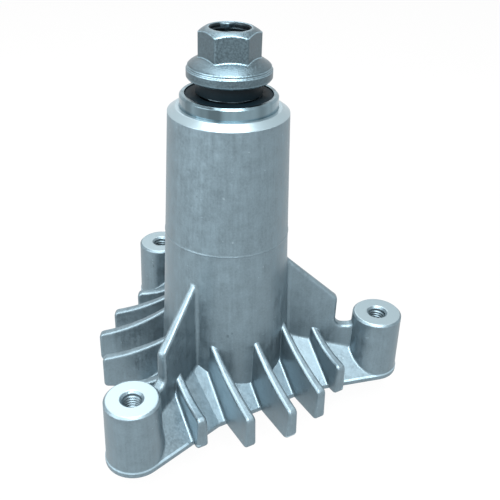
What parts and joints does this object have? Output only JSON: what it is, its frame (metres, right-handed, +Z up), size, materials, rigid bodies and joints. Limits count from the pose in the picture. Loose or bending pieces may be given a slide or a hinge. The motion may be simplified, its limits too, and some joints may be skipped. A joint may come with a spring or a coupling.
{
  "type": "mower deck spindle",
  "caption": "Mower deck spindle: finned die-cast housing on a triangle of screw bosses, with a blade shaft that turns in sealed ball bearings under a flange nut.",
  "frame": {"origin": "centre of the three screw holes, on the plane of the boss tops that bear against the deck", "axes": "+Z up the spindle axis towards the nut; +X through one screw boss; the blade end points down -Z"},
  "size_m": [0.145, 0.15, 0.1791],
  "materials": {
    "cast_aluminium": "die cast, fine grain with light tumbled edges",
    "forged_steel": "turned journals, forged head",
    "turned_steel": "drawn tube with turned ends",
    "black_collar": "black, satin",
    "plated_nut": "cold forged and zinc plated",
    "bearing_steel": "ground",
    "polished_balls": "polished",
    "pressed_steel": "pressed sheet",
    "black_rubber": "moulded, matt"
  },
  "bodies": {
    "housing": {"housing": "cast_aluminium", "upper_bearing_outer_ring": "bearing_steel", "upper_bearing_seal_top": "black_rubber", "upper_bearing_seal_bottom": "black_rubber", "lower_bearing_outer_ring": "bearing_steel", "lower_bearing_seal_top": "black_rubber", "lower_bearing_seal_bottom": "black_rubber"},
    "spindle": {"shaft": "forged_steel", "upper_bearing_inner_ring": "bearing_steel", "lower_bearing_inner_ring": "bearing_steel", "bearing_spacer": "turned_steel", "dust_collar": "black_collar", "flange_nut": "plated_nut"},
    "upper_cage": {"upper_bearing_balls": "polished_balls", "upper_bearing_cage_top": "pressed_steel", "upper_bearing_cage_bottom": "pressed_steel", "upper_bearing_cage_rivets": "pressed_steel"},
    "lower_cage": {"lower_bearing_balls": "polished_balls", "lower_bearing_cage_top": "pressed_steel", "lower_bearing_cage_bottom": "pressed_steel", "lower_bearing_cage_rivets": "pressed_steel"}
  },
  "joints": [
    {"name": "spindle_spin", "type": "hinge", "parent": "housing", "child": "spindle", "pos_m": [0, 0, 0], "axis": [0, 0, 1], "continuous": true},
    {"name": "upper_cage_spin", "type": "hinge", "parent": "housing", "child": "upper_cage", "pos_m": [0, 0, 0.0996], "axis": [0, 0, 1], "continuous": true},
    {"name": "lower_cage_spin", "type": "hinge", "parent": "housing", "child": "lower_cage", "pos_m": [0, 0, -0.0224], "axis": [0, 0, 1], "continuous": true}
  ],
  "couplings": [
    {"joint": "upper_cage_spin", "follows": "spindle_spin", "ratio": 0.38163},
    {"joint": "lower_cage_spin", "follows": "spindle_spin", "ratio": 0.38163}
  ]
}
